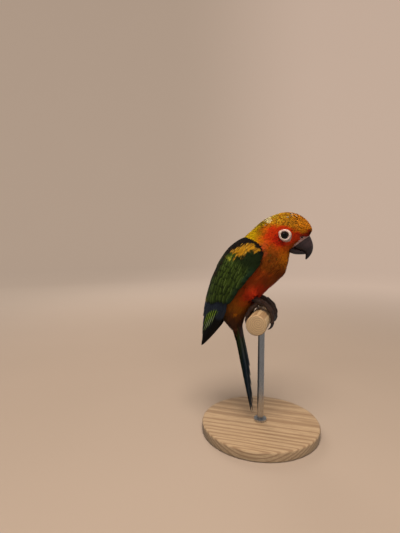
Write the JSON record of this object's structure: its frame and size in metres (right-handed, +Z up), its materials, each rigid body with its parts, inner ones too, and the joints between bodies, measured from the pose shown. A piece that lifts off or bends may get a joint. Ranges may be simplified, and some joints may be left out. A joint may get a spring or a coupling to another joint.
{
  "type": "sun conure on a perch stand",
  "caption": "Young sun conure, a small parrot, perched on a short wooden rail with wings folded and tail hanging, held by a plain display stand.",
  "frame": {"origin": "middle of the underside of the stand's base, on the surface that it rests on", "axes": "+X is where the bird faces, +Y is the bird's left, +Z is up"},
  "size_m": [0.1132, 0.11, 0.2049],
  "materials": {
    "breast_feathers": "soft, matt feathers",
    "nape_feathers": "soft, matt feathers",
    "face_feathers": "soft, matt feathers",
    "cere_skin": "bare pinkish skin",
    "bill_horn": "satin black horn",
    "eye": "glossy, very dark brown",
    "wing_feathers": "smooth, slightly glossy vanes",
    "tail_feathers": "smooth, slightly glossy vanes",
    "foot_scales": "grey scaled skin",
    "claw_horn": "satin black horn",
    "stand_base_wood": "oiled wood",
    "perch_wood": "bare sanded wood",
    "rod_steel": "brushed"
  },
  "bodies": {
    "root": {"torso": "breast_feathers", "neck": "nape_feathers", "head": "face_feathers", "cere": "cere_skin", "bill_upper": "bill_horn", "bill_lower": "bill_horn", "eye_right": "eye", "eye_left": "eye", "wing_right": "wing_feathers", "wing_left": "wing_feathers", "tail": "tail_feathers", "leg_right": "breast_feathers", "leg_left": "breast_feathers", "foot_right": "foot_scales", "foot_left": "foot_scales", "claw_right_1": "claw_horn", "claw_right_2": "claw_horn", "claw_right_3": "claw_horn", "claw_right_4": "claw_horn", "claw_left_1": "claw_horn", "claw_left_2": "claw_horn", "claw_left_3": "claw_horn", "claw_left_4": "claw_horn", "stand_base": "stand_base_wood", "stand_perch": "perch_wood", "stand_rod": "rod_steel"}
  },
  "joints": []
}
